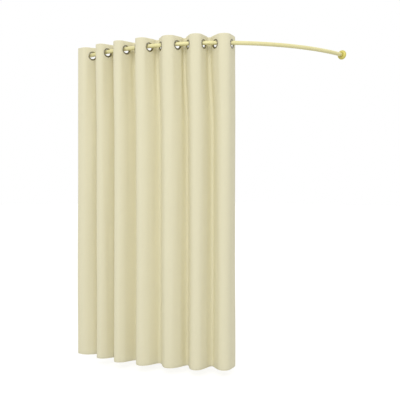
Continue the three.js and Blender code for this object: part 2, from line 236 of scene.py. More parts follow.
def finished(bm, name, material, sharp_angle=35):
    """The bmesh as a smooth-shaded object with one material."""
    mesh = bpy.data.meshes.new(name)
    bm.to_mesh(mesh)
    bm.free()
    mesh.shade_smooth()
    mesh.set_sharp_from_angle(angle=math.radians(sharp_angle))
    mesh.materials.append(material)
    piece = bpy.data.objects.new(name, mesh)
    bpy.context.scene.collection.objects.link(piece)
    return piece


def finish_node(name, material):
    """Gives a carried-over CAD node its material."""
    node = frame["nodes"][name]
    node.data.materials.clear()
    node.data.materials.append(material)


def spun(profile, sides, place):
    """A closed outline in (radius, height), turned about Z and put in place."""
    bm = bmesh.new()
    verts = [bm.verts.new((r, 0, h)) for r, h in profile]
    edges = [bm.edges.new((a, b)) for a, b in zip(verts, verts[1:] + verts[:1])]
    bmesh.ops.spin(
        bm,
        geom=verts + edges,
        cent=(0, 0, 0),
        axis=(0, 0, 1),
        angle=FULL_TURN,
        steps=sides,
        use_merge=True,
    )
    bmesh.ops.remove_doubles(bm, verts=bm.verts, dist=MERGE_DISTANCE)
    bmesh.ops.recalc_face_normals(bm, faces=bm.faces)
    bmesh.ops.transform(bm, matrix=place, verts=bm.verts)
    return bm


# Materials

def linear(hex_colour):
    """An sRGB hex colour as linear red, green, blue and alpha."""
    channels = [int(hex_colour[k:k + 2], 16) / 255 for k in (1, 3, 5)]
    out = [c / 12.92 if c <= 0.04045 else ((c + 0.055) / 1.055) ** 2.4 for c in channels]
    return (*out, 1.0)


def pick(sockets, name):
    """The socket of that name or number that the node's settings leave in use."""
    if isinstance(name, int):
        return sockets[name]
    return next(s for s in sockets if s.enabled and s.name == name)


def add_node(tree, kind, inputs=None, **settings):
    """A node with its settings; an input is a value, or a socket to link from."""
    node = tree.nodes.new(kind)
    for key, value in settings.items():
        setattr(node, key, value)
    for key, value in (inputs or {}).items():
        target = pick(node.inputs, key)
        if isinstance(value, bpy.types.NodeSocket):
            tree.links.new(value, target)
        else:
            target.default_value = value
    return node


def empty_material(name):
    material = bpy.data.materials.new(name)
    material.use_nodes = True
    tree = material.node_tree
    tree.nodes.clear()
    return material, tree, tree.nodes.new("ShaderNodeOutputMaterial")


def coated_metal(name, light, dark, roughness, grain, metallic=1.0, grain_strength=0.15):
    """Two close tones in soft clouds, with a fine polishing grain in the gloss and the surface."""
    material, tree, out = empty_material(name)
    place = add_node(tree, "ShaderNodeTexCoord").outputs["Object"]
    clouds = add_node(
        tree,
        "ShaderNodeTexNoise",
        {"Vector": place, "Scale": 1 / PLATING_CLOUD, "Detail": 3.0},
    )
    tone = add_node(
        tree,
        "ShaderNodeMix",
        {"Factor": clouds.outputs["Fac"], "A": linear(dark), "B": linear(light)},
        data_type="RGBA",
    )
    # Real polishing marks are too fine to show, so the grain is drawn about a millimetre across.
    marks = add_node(tree, "ShaderNodeTexNoise", {"Vector": place, "Scale": 1 / grain, "Detail": 2.0})
    glossiest, dullest = [roughness * share for share in GRAIN_GLOSS_SHARES]
    rough = add_node(
        tree,
        "ShaderNodeMapRange",
        {"Value": marks.outputs["Fac"], "To Min": glossiest, "To Max": dullest},
    )
    bump = add_node(
        tree,
        "ShaderNodeBump",
        {"Height": marks.outputs["Fac"], "Strength": grain_strength, "Distance": GRAIN_DEPTH},
    )
    shader = add_node(
        tree,
        "ShaderNodeBsdfPrincipled",
        {
            "Base Color": pick(tone.outputs, "Result"),
            "Metallic": metallic,
            "Roughness": rough.outputs["Result"],
            "Normal": bump.outputs["Normal"],
        },
    )
    tree.links.new(shader.outputs["BSDF"], out.inputs["Surface"])
    return material


def gilt_lacquer():
    """Pale gold lacquer on steel tube: pigment with a little metal flake, so it is bright on top and
    olive below, with faint clouds and hardly any grain."""
    return coated_metal(
        "pale_gold_lacquer",
        light="#e9e2ac",
        dark="#ded69a",
        roughness=0.32,
        grain=1.5 * MM,
        metallic=0.15,
        grain_strength=0.03,
    )


def satin_gilt():
    """Gold lacquer on the pressed covers and their seats, with more flake: satin, and a deeper yellow
    than the tube's."""
    return coated_metal(
        "satin_gold_lacquer",
        light="#dcd278",
        dark="#cabf62",
        roughness=0.48,
        grain=1.5 * MM,
        metallic=0.35,
    )


def nickel_painted_dark():
    """Nickel plating on pressed eyelets: a slightly warm grey, with clear reflections. Its tones are
    darker than bright nickel as painted reflection, standing in for dark surroundings in the metal.
    """
    # Both tones are darkened: painted reflection of dark surroundings.
    return coated_metal(
        "nickel_plating_with_painted_dark_reflection",
        light="#a39e8b",
        dark="#807b69",
        roughness=0.16,
        grain=1 * MM,
    )


def zinc_plating():
    """Bright zinc plating on steel fasteners: cool grey and satin."""
    return coated_metal(
        "bright_zinc_plating",
        light="#c4c6c8",
        dark="#aeb1b4",
        roughness=0.35,
        grain=0.8 * MM,
    )


def wave_scale(spacing):
    """The wave texture's scale for a band at each spacing. It runs 20 radians for each unit."""
    return FULL_TURN / WAVE_RADIANS / spacing


def woven_polyester(colour, thread_spacing):
    """Plain-woven polyester with a slubbed yarn: matt, with soft unevenness in its colour."""
    material, tree, out = empty_material("cream_woven_polyester")
    cut = add_node(tree, "ShaderNodeUVMap", uv_map=CLOTH_UV).outputs["UV"]
    # The real threads lie 0.3 mm apart, too fine to show, so they are drawn at a coarser spacing.
    threads = [
        add_node(
            tree,
            "ShaderNodeTexWave",
            {"Vector": cut, "Scale": wave_scale(thread_spacing), "Distortion": 1.5, "Detail": 1.0},
            bands_direction=direction,
        ).outputs["Fac"]
        for direction in ("X", "Y")
    ]
    weave = add_node(tree, "ShaderNodeMix", {"Factor": 0.5, "A": threads[0], "B": threads[1]})
    # Slubs are long thick places in the yarn that runs across the cloth.
    along_yarn = add_node(
        tree,
        "ShaderNodeMapping",
        {"Vector": cut, "Scale": (1 / SLUB_LENGTH, 1 / SLUB_HEIGHT, 1)},
    )
    slubs = add_node(
        tree,
        "ShaderNodeTexNoise",
        {"Vector": along_yarn.outputs["Vector"], "Scale": 1.0, "Detail": 2.0},
    )
    clouds = add_node(
        tree,
        "ShaderNodeTexNoise",
        {"Vector": cut, "Scale": 1 / CLOTH_CLOUD, "Detail": 3.0},
    )
    uneven = add_node(
        tree,
        "ShaderNodeMix",
        {"Factor": 0.5, "A": slubs.outputs["Fac"], "B": clouds.outputs["Fac"]},
    )
    # The yarn's colour wanders a little, and the gaps between the threads are darker than the yarn.
    height = pick(weave.outputs, "Result")
    share = add_node(
        tree,
        "ShaderNodeMix",
        {"Factor": WEAVE_TONE_SHARE, "A": pick(uneven.outputs, "Result"), "B": height},
    )
    pale = [min(c * (1 + YARN_TONE_SHARE), 1) for c in colour]
    deep = [c * (1 - YARN_TONE_SHARE) for c in colour]
    tone = add_node(
        tree,
        "ShaderNodeMix",
        {"Factor": pick(share.outputs, "Result"), "A": (*deep, 1), "B": (*pale, 1)},
        data_type="RGBA",
    )
    bump = add_node(
        tree,
        "ShaderNodeBump",
        {"Height": height, "Strength": 0.6, "Distance": WEAVE_DEPTH},
    )
    shader = add_node(
        tree,
        "ShaderNodeBsdfPrincipled",
        {
            "Base Color": pick(tone.outputs, "Result"),
            "Roughness": 0.85,
            "Specular IOR Level": 0.2,
            "Sheen Weight": 0.12,
            "Sheen Roughness": 0.5,
            "Normal": bump.outputs["Normal"],
        },
    )
    tree.links.new(shader.outputs["BSDF"], out.inputs["Surface"])
    return material


def spun_thread():
    """Spun polyester sewing thread: matt, with the twist of its plies as fine slanting bands."""
    material, tree, out = empty_material("spun_polyester_thread")
    place = add_node(tree, "ShaderNodeTexCoord").outputs["Object"]
    plies = add_node(
        tree,
        "ShaderNodeTexWave",
        {"Vector": place, "Scale": wave_scale(THREAD), "Distortion": 0.5},
        bands_direction="DIAGONAL",
    )
    tone = add_node(
        tree,
        "ShaderNodeMix",
        {"Factor": plies.outputs["Fac"], "A": linear("#d8cfa6"), "B": linear("#eae3c6")},
        data_type="RGBA",
    )
    shader = add_node(
        tree,
        "ShaderNodeBsdfPrincipled",
        {"Base Color": pick(tone.outputs, "Result"), "Roughness": 0.7},
    )
    tree.links.new(shader.outputs["BSDF"], out.inputs["Surface"])
    return material


# Eyelets, as the frame places them

Eyelet = namedtuple("Eyelet", "number place height heading ratio")


def corners(node):
    """A CAD node's corners, each once, to a micrometre."""
    vertices = frame["nodes"][node].data.vertices
    return [Vector(c) for c in sorted({tuple(round(x, 6) for x in v.co) for v in vertices})]


def middle_of(points):
    return sum(points, Vector()) / len(points)


def eyelet_from_frame(number, ratios):
    """An eyelet's middle in the cloth, the cloth's heading there, and its share of the drawing."""
    front = corners(f"eyelet_front_{number}")
    back = corners(f"eyelet_back_{number}")
    middle = middle_of(back)
    facing = middle_of(front) - middle
    facing.z = 0
    facing.normalize()
    washer_face = max((c - middle).dot(facing) for c in back)
    reach = {}
    for corner in front:
        along = (corner - middle).dot(facing)
        reach[along] = (corner - middle - facing * along).length
    widest = max(reach.values())
    rim_face = min(along for along, radius in reach.items() if radius > RIM_SHARE * widest)
    centre = middle + facing * (washer_face + rim_face) / 2
    heading = math.atan2(facing.x, -facing.y)
    ratio = ratios.get(f"eyelet_{number}", 0.0)
    return Eyelet(number, complex(centre.x, centre.y), centre.z, heading, ratio)


def eyelets_from_frame():
    """All eyelets from the trailing edge on. The lead one draws the others after it."""
    behaviour = frame["record"]["behaviour"]
    shares = {coupling["joint"]: coupling["ratio"] for coupling in behaviour["couplings"]}
    ratios = {joint["child"]: shares.get(joint["name"], 1.0) for joint in behaviour["joints"]}
    return [eyelet_from_frame(number, ratios) for number in EYELET_NUMBERS]


def body_of_eyelet(eyelet):
    return f"eyelet_{eyelet.number}" if eyelet.ratio > 0 else "rail"


# The cloth's line in plan

def ahead(heading, run=1.0):
    return cmath.rect(run, heading)


def outward(heading):
    """The side of the cloth that faces the room."""
    return -1j * ahead(heading)


def cross(a, b):
    return (a.conjugate() * b).imag


def bend(start, heading_from, end, heading_to, steps):
    """A bend of known cloth length between two flat stretches. Its heading turns steadily, plus two
    sine terms that are solved so that the bend ends where the next stretch begins."""
    step = (EYELET_PITCH - FLAT_AT_EYELET) / steps

    def walk(bulge, lean):
        places = [start]
        for k in range(steps):
            u = (k + 0.5) / steps
            heading = between(heading_from, heading_to, u)
            heading += bulge * math.sin(FULL_TURN * u) + lean * math.sin(HALF_TURN * u)
            places.append(places[-1] + ahead(heading, step))
        return places

    bulge = lean = 0.0
    nudge = 1e-5
    most = 0.3
    rounds = 40
    for _ in range(rounds):
        miss = walk(bulge, lean)[-1] - end
        by_bulge = (walk(bulge + nudge, lean)[-1] - end - miss) / nudge
        by_lean = (walk(bulge, lean + nudge)[-1] - end - miss) / nudge
        area = cross(by_bulge, by_lean)
        bulge -= min(max(cross(miss, by_lean) / area, -most), most)
        lean -= min(max(cross(by_bulge, miss) / area, -most), most)
    return walk(bulge, lean)


def flap(start, heading_from, heading_to, length, steps):
    """The loose cloth past an end eyelet, which turns steadily."""
    places = [start]
    for k in range(steps):
        heading = between(heading_from, heading_to, (k + 0.5) / steps)
        places.append(places[-1] + ahead(heading, length / steps))
    return places


def headings_along(places):
    """A line's heading at each of its places, counted on without a jump."""
    headings = []
    for k in range(len(places)):
        heading = cmath.phase(places[min(k + 1, len(places) - 1)] - places[max(k - 1, 0)])
        if headings:
            heading += round((headings[-1] - heading) / FULL_TURN) * FULL_TURN
        headings.append(heading)
    return headings


def rail_angle(place):
    """How far round the bend a place on the rail's line lies, from the left wall."""
    return math.atan2(place.real, BEND_RADIUS - place.imag)


class ClothLine:
    """The cloth's line in plan from its trailing edge, read at any run along the cloth."""

    def __init__(self, eyelets, columns_flat, columns_bend):
        half_flat = FLAT_AT_EYELET / 2
        half_bend = columns_bend // 2
        first, last = eyelets[0], eyelets[-1]
        start = first.place - ahead(first.heading, half_flat)
        turned_back = rail_angle(first.place) + HALF_TURN
        trailing = flap(start, first.heading + HALF_TURN, turned_back, TRAILING_TURN, half_bend)
        straight_end = trailing[-1] + ahead(turned_back, TRAILING_STRAIGHT)
        self.places = evenly(straight_end, trailing[-1], half_bend) + trailing[:0:-1]
        self.runs = evenly(0, TRAILING_STRAIGHT, half_bend)
        self.runs += evenly(TRAILING_STRAIGHT, TRAILING_STRAIGHT + TRAILING_TURN, half_bend)

        for k, eyelet in enumerate(eyelets):
            run = TRAILING_CLOTH + k * EYELET_PITCH
            before = eyelet.place - ahead(eyelet.heading, half_flat)
            after = eyelet.place + ahead(eyelet.heading, half_flat)
            self.places += evenly(before, after, columns_flat)
            self.runs += evenly(run - half_flat, run + half_flat, columns_flat)
            if eyelet is last:
                break
            following = eyelets[k + 1]
            reached = following.place - ahead(following.heading, half_flat)
            self.places += bend(after, eyelet.heading, reached, following.heading, columns_bend)[:-1]
            self.runs += evenly(run + half_flat, run + EYELET_PITCH - half_flat, columns_bend)

        end_heading = rail_angle(last.place) + LEAD_END_SLOPE
        lead_start = last.place + ahead(last.heading, half_flat)
        self.places += flap(lead_start, last.heading, end_heading, LEAD_TURN, half_bend)
        self.runs += evenly(CLOTH_WIDTH - LEAD_TURN, CLOTH_WIDTH, half_bend) + [CLOTH_WIDTH]

        self.headings = headings_along(self.places)
        self.loose_places = self.spread_evenly([self.loosened(run) for run in self.runs])
        self.loose_headings = headings_along(self.loose_places)

    def loosened(self, run):
        """Where the line lies once the flat stretches at the eyelets have rounded out and the valleys
        have swung towards the lead edge, in behind the folds that follow them."""
        reach = min(LOOSE_REACH, run, self.runs[-1] - run)
        sides = [reach * (2 * k / (LOOSE_SAMPLES - 1) - 1) for k in range(LOOSE_SAMPLES)]
        places = [read_between(self.runs, self.places, run + side) for side in sides]
        place = sum(places) / len(places)
        behind_crests = BEND_RADIUS + CREST_REACH - abs(place - 1j * BEND_RADIUS)
        to_lead_eyelet = (CLOTH_WIDTH - LEAD_CLOTH - run) / EYELET_PITCH
        inner = smooth_step(min(run / TRAILING_CLOTH, to_lead_eyelet))
        return place + ahead(rail_angle(place), VALLEY_LEAN_SHARE * behind_crests * inner)

    def spread_evenly(self, places):
        """The same line with its columns spaced as they are on the cut cloth."""
        steps = [abs(b - a) for a, b in zip(places, places[1:])]
        lengths = list(accumulate(steps, initial=0.0))
        scale = lengths[-1] / CLOTH_WIDTH
        return [read_between(lengths, places, run * scale) for run in self.runs]

    def at(self, run, looseness):
        """The place and heading at a run along the cloth, from held at the eyelets to hanging loose."""
        lines = ((self.places, self.loose_places), (self.headings, self.loose_headings))
        return [
            between(read_between(self.runs, held, run), read_between(self.runs, loose, run), looseness)
            for held, loose in lines
        ]


# The curtain

def cloth_rows(heading_rows, body_rows):
    """Distances down the cut cloth to each row: close at the heading, and round the folded edges."""
    fold = HALF_TURN * FOLD_RADIUS
    front = HEADING + fold
    below = front + HEADING
    hem_top = CLOTH_LENGTH - HEM - fold - HEM
    rows = evenly(0, HEADING, heading_rows) + evenly(HEADING, front, EDGE_ROWS)
    rows += evenly(front, below, heading_rows) + evenly(below, hem_top, body_rows)
    hem_marks = (hem_top, hem_top + HEM, CLOTH_LENGTH - HEM, CLOTH_LENGTH)
    for start, end in zip(hem_marks, hem_marks[1:]):
        rows += evenly(start, end, EDGE_ROWS)
    return rows + [CLOTH_LENGTH]


def folded_in(down):
    """Where a distance down the cut cloth comes to lie: (below the top edge, off the middle plane)."""
    fold = HALF_TURN * FOLD_RADIUS
    top_turn = (down - HEADING) / fold
    bottom_turn = (down - (CLOTH_LENGTH - HEM - fold)) / fold
    if top_turn < 0:
        return HEADING - down + FOLD_RADIUS, -FOLD_RADIUS
    if top_turn < 1:
        turn = top_turn * HALF_TURN
        return FOLD_RADIUS * (1 - math.sin(turn)), -FOLD_RADIUS * math.cos(turn)
    if bottom_turn < 0:
        return down - HEADING - fold + FOLD_RADIUS, FOLD_RADIUS
    low = CURTAIN_HEIGHT - FOLD_RADIUS
    if bottom_turn < 1:
        turn = bottom_turn * HALF_TURN
        return low + FOLD_RADIUS * math.sin(turn), FOLD_RADIUS * math.cos(turn)
    return low - (down - (CLOTH_LENGTH - HEM)), -FOLD_RADIUS


def eyelet_depth(eyelet):
    return curtain_high.z - eyelet.height


def hole_centres(eyelets):
    """Where the eyelets pierce the cut cloth, once in the turned-in heading and once in the front."""
    centres = []
    for k, eyelet in enumerate(eyelets):
        run = TRAILING_CLOTH + k * EYELET_PITCH
        depth = eyelet_depth(eyelet) - FOLD_RADIUS
        centres.append(Vector((run, HEADING - depth, 0)))
        centres.append(Vector((run, HEADING + HALF_TURN * FOLD_RADIUS + depth, 0)))
    return centres


def cut_holes(bm, centres):
    """Takes the faces inside the circles away and draws the rims that are left onto the circles."""
    inside = []
    centre_of = {}
    heading_end = 2 * HEADING + HALF_TURN * FOLD_RADIUS
    for face in bm.faces:
        middle = face.calc_center_median()
        if middle.y > heading_end:
            continue
        centre = min(centres, key=lambda c: (c - middle).length)
        if (centre - middle).length < CLOTH_HOLE_RADIUS:
            inside.append(face)
            centre_of.update({vert: centre for vert in face.verts})
    bmesh.ops.delete(bm, geom=inside, context="FACES")
    for vert, centre in centre_of.items():
        if vert.is_valid:
            vert.co = centre + (vert.co - centre).normalized() * CLOTH_HOLE_RADIUS


def cut_cloth(line, rows, eyelets):
    """The cloth laid out flat, with its holes, and with its own places as a map for the weave."""
    # The grid starts one metre across, about the origin.
    bm = bmesh.new()
    columns = len(line.runs) - 1
    bmesh.ops.create_grid(bm, x_segments=columns, y_segments=len(rows) - 1, size=0.5)
    for vert in bm.verts:
        column = round((vert.co.x + 0.5) * columns)
        row = round((vert.co.y + 0.5) * (len(rows) - 1))
        vert.co = (line.runs[column], rows[row], 0)
    cut_holes(bm, hole_centres(eyelets))
    uv = bm.loops.layers.uv.new(CLOTH_UV)
    run = bm.verts.layers.float.new(RUN_ALONG)
    for vert in bm.verts:
        vert[run] = vert.co.x
    for face in bm.faces:
        for loop in face.loops:
            loop[uv].uv = loop.vert.co.xy
    return bm


def wander(run, depth, settings):
    """How far the hanging cloth strays from its line: slow sway that grows to the hem, and narrow
    upright ripples that start below the eyelets, each from its own slice of the noise."""
    hang = smooth_step((depth - HEADING) / (CURTAIN_HEIGHT - HEADING))
    slow = noise.noise(Vector((run / SWAY_WIDTH, depth / SWAY_HEIGHT, 0)))
    loose = smooth_step((depth - RIPPLE_FROM) / RIPPLE_BY)
    narrow = noise.noise(Vector((run / RIPPLE_WIDTH, depth / RIPPLE_HEIGHT, 1)))
    return settings.sway * hang * slow + settings.ripple * loose * narrow


def hung(line, run, depth, proud, settings):
    """Where a point hangs that lies below the top edge and proud of the cloth's middle plane."""
    place, heading = line.at(run, smooth_step((depth - LOOSE_FROM) / LOOSE_BY))
    place += outward(heading) * (proud + wander(run, depth, settings))
    return Vector((place.real, place.imag, curtain_high.z - depth))


def follow_the_eyelets(piece):
    """Bakes the piece's place into its mesh."""
    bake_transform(piece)


def curtain_line(eyelets, settings):
    return ClothLine(eyelets, settings.columns_at_eyelet, settings.columns_in_bend)


def add_curtain(settings):
    """The sheet of cloth, with its heading and hem turned in, hung in folds from its eyelets."""
    eyelets = eyelets_from_frame()
    line = curtain_line(eyelets, settings)
    bm = cut_cloth(line, cloth_rows(settings.heading_rows, settings.body_rows), eyelets)
    for vert in bm.verts:
        vert.co = hung(line, vert.co.x, *folded_in(vert.co.y), settings)
    bmesh.ops.recalc_face_normals(bm, faces=bm.faces)
    cloth = woven_polyester(settings.cloth_colour, settings.thread_spacing)
    curtain = finished(bm, "curtain", cloth, sharp_angle=180)
    follow_the_eyelets(curtain)
    thickness = curtain.modifiers.new("cloth_thickness", "SOLIDIFY")
    thickness.thickness = CLOTH_THICKNESS
    thickness.offset = 0
    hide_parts(*[f"curtain_{number}" for number in EYELET_NUMBERS])
    return curtain


def flat_stitches(pitch):
    """Rows of stitches on the cloth laid flat: x along it, y below its top edge, z proud of it."""
    proud = FOLD_RADIUS + CLOTH_THICKNESS / 2
    shape = Matrix.Diagonal((pitch * HALF_STITCH_SHARE, THREAD / 2, THREAD / 2, 1))
    bm = bmesh.new()
    for depth in (HEADING - SEAM_INSET, CURTAIN_HEIGHT - HEM + SEAM_INSET):
        for side in (1, -1):
            spot = Matrix.Translation((SEAM_INSET + pitch / 2, depth, proud * side))
            bmesh.ops.create_uvsphere(bm, u_segments=6, v_segments=4, radius=1, matrix=spot @ shape)
    # Each round doubles the rows, and what runs past the seam's end is then taken off.
    count = 1
    wanted = int((CLOTH_WIDTH - 2 * SEAM_INSET) / pitch)
    while count < wanted:
        copied = bmesh.ops.duplicate(bm, geom=bm.verts[:] + bm.edges[:] + bm.faces[:])["geom"]
        copied = [item for item in copied if isinstance(item, bmesh.types.BMVert)]
        bmesh.ops.translate(bm, verts=copied, vec=(count * pitch, 0, 0))
        count *= 2
    end = SEAM_INSET + wanted * pitch
    bmesh.ops.delete(bm, geom=[v for v in bm.verts if v.co.x > end], context="VERTS")
    return bm


def add_stitching(settings):
    """Lockstitch along the heading and the hem, on both faces of the cloth."""
    eyelets = eyelets_from_frame()
    line = curtain_line(eyelets, settings)
    bm = flat_stitches(settings.stitch_pitch)
    along = bm.verts.layers.float.new(RUN_ALONG)
    for vert in bm.verts:
        run, depth, proud = vert.co
        vert[along] = run
        vert.co = hung(line, run, depth, proud, settings)
    # Depth is counted downwards, so hanging mirrors the stitches and turns their faces inwards.
    bmesh.ops.reverse_faces(bm, faces=bm.faces)
    stitching = finished(bm, "curtain_stitching", spun_thread())
    follow_the_eyelets(stitching)
    return stitching


# The rail and its wall ends

def bent_half(name, start, end, material):
    """Half of the rail: a tube and its bore, swept round the bend between two angles."""
    bm = bmesh.new()
    for radius in (TUBE_RADIUS, TUBE_RADIUS - TUBE_WALL):
        bmesh.ops.create_circle(bm, segments=TUBE_SIDES, radius=radius)
    bmesh.ops.bridge_loops(bm, edges=bm.edges[:])
    bmesh.ops.rotate(bm, verts=bm.verts, matrix=Matrix.Rotation(QUARTER_TURN, 3, "Y"))
    middle = Vector((0, BEND_RADIUS, 0))
    bmesh.ops.rotate(bm, verts=bm.verts, cent=middle, matrix=Matrix.Rotation(start, 3, "Z"))
    first_rings = bm.edges[:]
    swept = bmesh.ops.spin(
        bm,
        geom=bm.verts[:] + bm.edges[:] + bm.faces[:],
        cent=middle,
        axis=(0, 0, 1),
        angle=end - start,
        steps=TUBE_STEPS,
    )
    bmesh.ops.recalc_face_normals(bm, faces=bm.faces)
    last_rings = [e for e in swept["geom_last"] if isinstance(e, bmesh.types.BMEdge)]
    ring_edges = [e for e in first_rings + last_rings if e.is_valid]
    rims = [e for e in ring_edges if e.calc_face_angle(0) > TUBE_RIM_ANGLE]
    bmesh.ops.bevel(
        bm,
        geom=rims,
        offset=TUBE_EDGE,
        segments=2,
        profile=0.5,
        affect="EDGES",
        material=-1,
    )
    return finished(bm, name, material)


def add_rail():
    """The two bent halves, which meet over the spigot at the middle of the bow."""
    gilt = gilt_lacquer()
    wall_end = math.asin(tube_low.x / (BEND_RADIUS - TUBE_RADIUS))
    half_gap = HALVES_GAP / 2 / BEND_RADIUS
    spans = {
        "left": (wall_end, QUARTER_TURN / 2 - half_gap),
        "right": (QUARTER_TURN / 2 + half_gap, QUARTER_TURN - wall_end),
    }
    for side, (start, end) in spans.items():
        tube = bent_half(f"bent_tube_{side}", start, end, gilt)
        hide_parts(f"rail_tube_{side}")
        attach(tube, "rail")


def wall_places():
    """A matrix for each wall end of the rail, with Z pointing off the wall."""
    return {
        "left": place_along(Vector((0, 0, 0)), Vector((1, 0, 0))),
        "right": place_along(Vector((BEND_RADIUS, BEND_RADIUS, 0)), Vector((0, -1, 0))),
    }


def cover_outline():
    """A shallow pressed dome with a short straight rim, open at the wall and at the collar."""
    bore = COLLAR_RADIUS + COVER_PLAY
    radius = (cover_high.z - cover_low.z) / 2
    low, high = cover_low.x, cover_high.x
    shoulder = low + COVER_RIM
    across, up = radius - bore, high - shoulder
    edge = COVER_WALL / 2
    inner = (across - COVER_WALL, up - COVER_WALL)
    outline = arc((radius - edge, low + edge), edge, 180, 360, steps=8)
    outline += arc((bore, shoulder), (across, up), 0, DOME_END_DEGREES, steps=24)
    outline += arc((bore + edge, high - edge), edge, 90, 180, steps=6)
    return outline + arc((bore, shoulder), inner, 90, 0, steps=24)


def add_wall_ends():
    """The domed covers that hide the screwed seats, and the seats themselves."""
    gilt = satin_gilt()
    for side, place in wall_places().items():
        cover = finished(spun(cover_outline(), COVER_SIDES, place), f"domed_cover_{side}", gilt)
        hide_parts(f"wall_cover_{side}")
        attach(cover, "rail")
        finish_node(f"wall_seat_{side}", gilt)


def add_fasteners():
    """The spigot inside the rail's joint, its two screws, and the grub screws of the seats."""
    zinc = zinc_plating()
    names = ["rail_spigot"]
    for side in ("left", "right"):
        names += [f"spigot_screw_{side}", f"seat_screw_{side}"]
    for name in names:
        finish_node(name, zinc)


# The eyelets

def domed_ring_outline():
    """The front ring: a domed face that rolls into a neck, which is flared over the washer."""
    half_width = (RING_RADIUS - EYELET_BORE) / 2
    crown = (EYELET_BORE + half_width, RING_SEAT + RING_EDGE)
    roll = NECK_RADIUS - EYELET_BORE + RING_EDGE
    tip = LIP_THICKNESS / 2
    foot = (EYELET_BORE + roll, -LIP_FACE - LIP_THICKNESS + roll)
    outline = arc(crown, (half_width, RING_DOME), 0, 180, steps=20)
    outline += arc(foot, roll, 180, 270, steps=8)
    outline += arc((NECK_RADIUS + LIP_WIDTH - tip, -LIP_FACE - tip), tip, -90, 90, steps=8)
    outline += [(NECK_RADIUS, -LIP_FACE), (NECK_RADIUS, RING_SEAT)]
    return outline + [(RING_RADIUS - RING_EDGE / 2, RING_SEAT)]


def washer_outline():
    """The back ring: flat inside, sloped to its edge."""
    edge = RING_EDGE / 2
    flat_end = between(WASHER_BORE, RING_RADIUS, WASHER_FLAT_SHARE)
    slope = (RING_RADIUS - flat_end, WASHER_FACE - RING_SEAT - edge)
    outline = [(WASHER_BORE, -RING_SEAT)]
    outline += arc((WASHER_BORE + edge, -WASHER_FACE + edge), edge, 180, 270, steps=4)
    outline += arc((flat_end, -RING_SEAT - edge), slope, -90, 0, steps=10)
    return outline + [(RING_RADIUS - edge / 2, -RING_SEAT)]


def add_eyelets():
    """A domed front ring and a flat back ring at each eyelet, riding along the rail with it."""
    nickel = nickel_painted_dark()
    for eyelet in eyelets_from_frame():
        off = outward(eyelet.heading)
        point = Vector((eyelet.place.real, eyelet.place.imag, eyelet.height))
        place = place_along(point, Vector((off.real, off.imag, 0)))
        parts = {"front": ("domed_ring", domed_ring_outline()), "back": ("washer", washer_outline())}
        for side, (word, outline) in parts.items():
            ring = finished(spun(outline, RING_SIDES, place), f"{word}_{eyelet.number}", nickel)
            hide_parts(f"eyelet_{side}_{eyelet.number}")
            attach(ring, body_of_eyelet(eyelet))


# The stage: a white floor, soft light and the camera

def seen_ray(tree):
    """A socket that is 1 for what the camera sees, also in a reflection or through glass, and 0 for
    light on its way to a surface."""
    ray = add_node(tree, "ShaderNodeLightPath").outputs
    direct = add_node(
        tree,
        "ShaderNodeMath",
        {0: ray["Is Camera Ray"], 1: ray["Is Glossy Ray"]},
        operation="MAXIMUM",
    )
    seen = add_node(
        tree,
        "ShaderNodeMath",
        {0: direct.outputs["Value"], 1: ray["Is Transmission Ray"]},
        operation="MAXIMUM",
    )
    return seen.outputs["Value"]


def white_floor(colour):
    """Painted floor: white to the camera and in reflections, darker only where it is shaded."""
    material, tree, out = empty_material("white_floor")
    seen = seen_ray(tree)
    diffuse = add_node(tree, "ShaderNodeBsdfDiffuse", {"Color": (*colour, 1)})
    glow = add_node(tree, "ShaderNodeEmission", {"Color": (1, 1, 1, 1), "Strength": FLOOR_GLOW})
    both = add_node(
        tree,
        "ShaderNodeAddShader",
        {0: diffuse.outputs["BSDF"], 1: glow.outputs["Emission"]},
    )
    mixed = add_node(
        tree,
        "ShaderNodeMixShader",
        {0: seen, 1: diffuse.outputs["BSDF"], 2: both.outputs["Shader"]},
    )
    tree.links.new(mixed.outputs["Shader"], out.inputs["Surface"])
    return material


def light_world(strength):
    """White to the camera and in reflections, and a softer white as light."""
    world = bpy.data.worlds.new("studio")
    bpy.context.scene.world = world
    world.use_nodes = True
    tree = world.node_tree
    tree.nodes.clear()
    out = tree.nodes.new("ShaderNodeOutputWorld")
    level = add_node(
        tree,
        "ShaderNodeMapRange",
        {"Value": seen_ray(tree), "To Min": strength, "To Max": 1.0},
    )
    sky = add_node(
        tree,
        "ShaderNodeBackground",
        {"Color": (1, 1, 1, 1), "Strength": level.outputs["Result"]},
    )
    tree.links.new(sky.outputs["Background"], out.inputs["Surface"])


def add_softbox(name, place, towards, width, watts):
    """A round softbox, far enough off that the top of the cloth is only a little brighter."""
    lamp = bpy.data.lights.new(name, "AREA")
    lamp.shape = "DISK"
    lamp.size = width
    lamp.energy = watts
    holder = bpy.data.objects.new(name, lamp)
    holder.location = place
    holder.rotation_euler = Vector(towards).to_track_quat("-Z", "Y").to_euler()
    bpy.context.scene.collection.objects.link(holder)


def add_camera():
    """A level camera that faces the bow from about half the curtain's height."""
    lens = bpy.data.cameras.new("camera")
    lens.lens = CAMERA_LENS
    lens.sensor_width = CAMERA_SENSOR
    lens.shift_x, lens.shift_y = CAMERA_SHIFT
    camera = bpy.data.objects.new("camera", lens)
    camera.location = CAMERA_PLACE
    camera.rotation_euler = Vector(CAMERA_LOOK).to_track_quat("-Z", "Y").to_euler()
    bpy.context.scene.collection.objects.link(camera)
    bpy.context.scene.camera = camera


def add_stage(settings):
    """The floor, the world, a soft key light and the camera."""
    bm = bmesh.new()
    bmesh.ops.create_grid(bm, x_segments=1, y_segments=1, size=FLOOR_REACH)
    bmesh.ops.translate(bm, verts=bm.verts, vec=(0, 0, cad_box[0].z - settings.floor_clearance))
    floor = finished(bm, "floor", white_floor(settings.floor_colour))
    light_world(settings.world_strength)
    add_softbox("key_light", KEY_PLACE, KEY_DIRECTION, KEY_WIDTH, settings.key_power)
    add_camera()
    bpy.context.scene.view_settings.view_transform = "Standard"


# Settings

